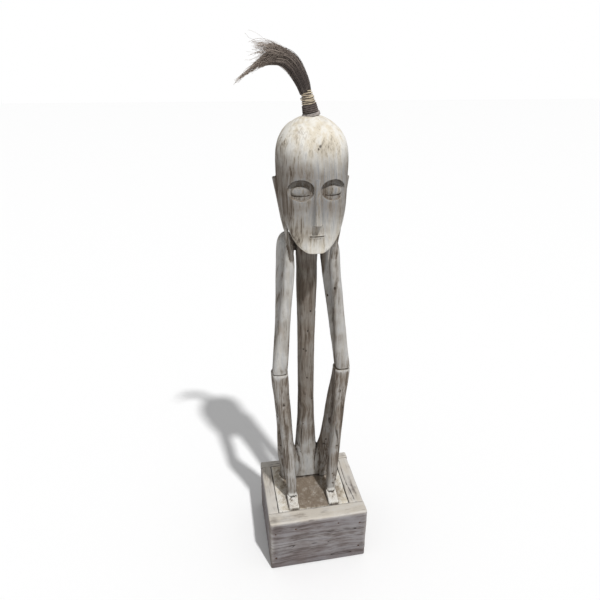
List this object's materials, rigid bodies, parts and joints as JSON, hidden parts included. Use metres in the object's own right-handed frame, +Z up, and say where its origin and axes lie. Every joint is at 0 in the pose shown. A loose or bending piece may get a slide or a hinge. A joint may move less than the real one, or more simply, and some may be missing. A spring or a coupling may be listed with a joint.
{
  "type": "carved ancestor figure",
  "caption": "Tall squatting figure carved from one log, elbows on knees, hands on cheeks, in a boarded base, with a pull-off hair plume in its crown.",
  "frame": {"origin": "on the floor, under the middle of the log that the figure is cut from", "axes": "+Z up, the face looks along -Y, +X is to the right of a viewer facing it"},
  "size_m": [0.3131, 0.2582, 1.3853],
  "materials": {
    "log_wood": "weathered grey-brown wood with worn white limewash, palest on the head",
    "board_wood": "weathered limewashed planks",
    "nail_iron": "rusted",
    "peg_wood": "whittled, unpainted",
    "hair": "coarse dark hair with brown lights",
    "collar_cord": "dusty twisted cord",
    "dark_cord": "dark twisted cord",
    "rattan": "split rattan, dull"
  },
  "bodies": {
    "figure": {"carved_figure": "log_wood", "front_board": "board_wood", "back_board": "board_wood", "left_board": "board_wood", "right_board": "board_wood", "front_nails": "nail_iron", "back_nails": "nail_iron", "left_nails": "nail_iron", "right_nails": "nail_iron"},
    "plume": {"plume_peg": "peg_wood", "hair_tuft": "hair", "crown_collar": "collar_cord", "cord_wrap": "dark_cord", "rattan_wrap": "rattan"}
  },
  "joints": [
    {"name": "plume_pull", "type": "slide", "parent": "figure", "child": "plume", "axis": [-0.225, 0, 0.9744], "range_m": [0, 0.045]}
  ]
}
